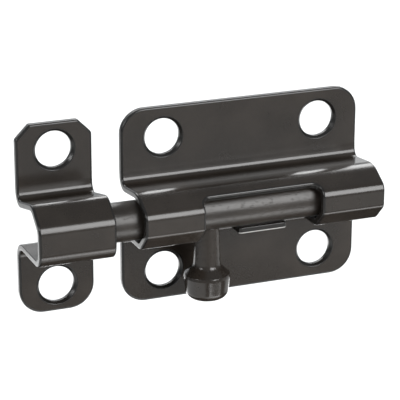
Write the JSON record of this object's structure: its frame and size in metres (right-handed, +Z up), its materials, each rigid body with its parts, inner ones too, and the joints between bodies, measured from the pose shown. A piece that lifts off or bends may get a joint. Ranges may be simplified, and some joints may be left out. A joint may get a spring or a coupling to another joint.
{
  "type": "slide bolt latch",
  "caption": "Pressed slide bolt latch: a round bolt with a turn-down knob slides in a barrelled plate and shoots into a matching strike plate.",
  "frame": {"origin": "centre of the body plate's four screw holes, on the plate's back face", "axes": "+X along the bolt in its opening direction, +Z up the plate, +Y towards the door"},
  "size_m": [0.0723, 0.0151, 0.0402],
  "materials": {
    "coated_sheet": "semi-gloss black coating",
    "coated_bar": "semi-gloss black coating, rubbed by sliding",
    "coated_knob": "gloss black coating"
  },
  "bodies": {
    "plate": {"body_plate": "coated_sheet"},
    "bolt": {"bolt_rod": "coated_bar"},
    "knob": {"knob": "coated_knob"},
    "strike": {"strike_plate": "coated_sheet"}
  },
  "joints": [
    {"name": "bolt_slide", "type": "slide", "parent": "plate", "child": "bolt", "axis": [1, 0, 0], "range_m": [0, 0.0194]},
    {"name": "knob_turn", "type": "hinge", "parent": "bolt", "child": "knob", "pos_m": [-0.0103, -0.0086, 0.0002], "axis": [-1, 0, 0], "range_deg": [0, 100]},
    {"name": "strike_away", "type": "slide", "parent": "plate", "child": "strike", "axis": [-1, 0, 0], "range_m": [0, 0.012]}
  ]
}
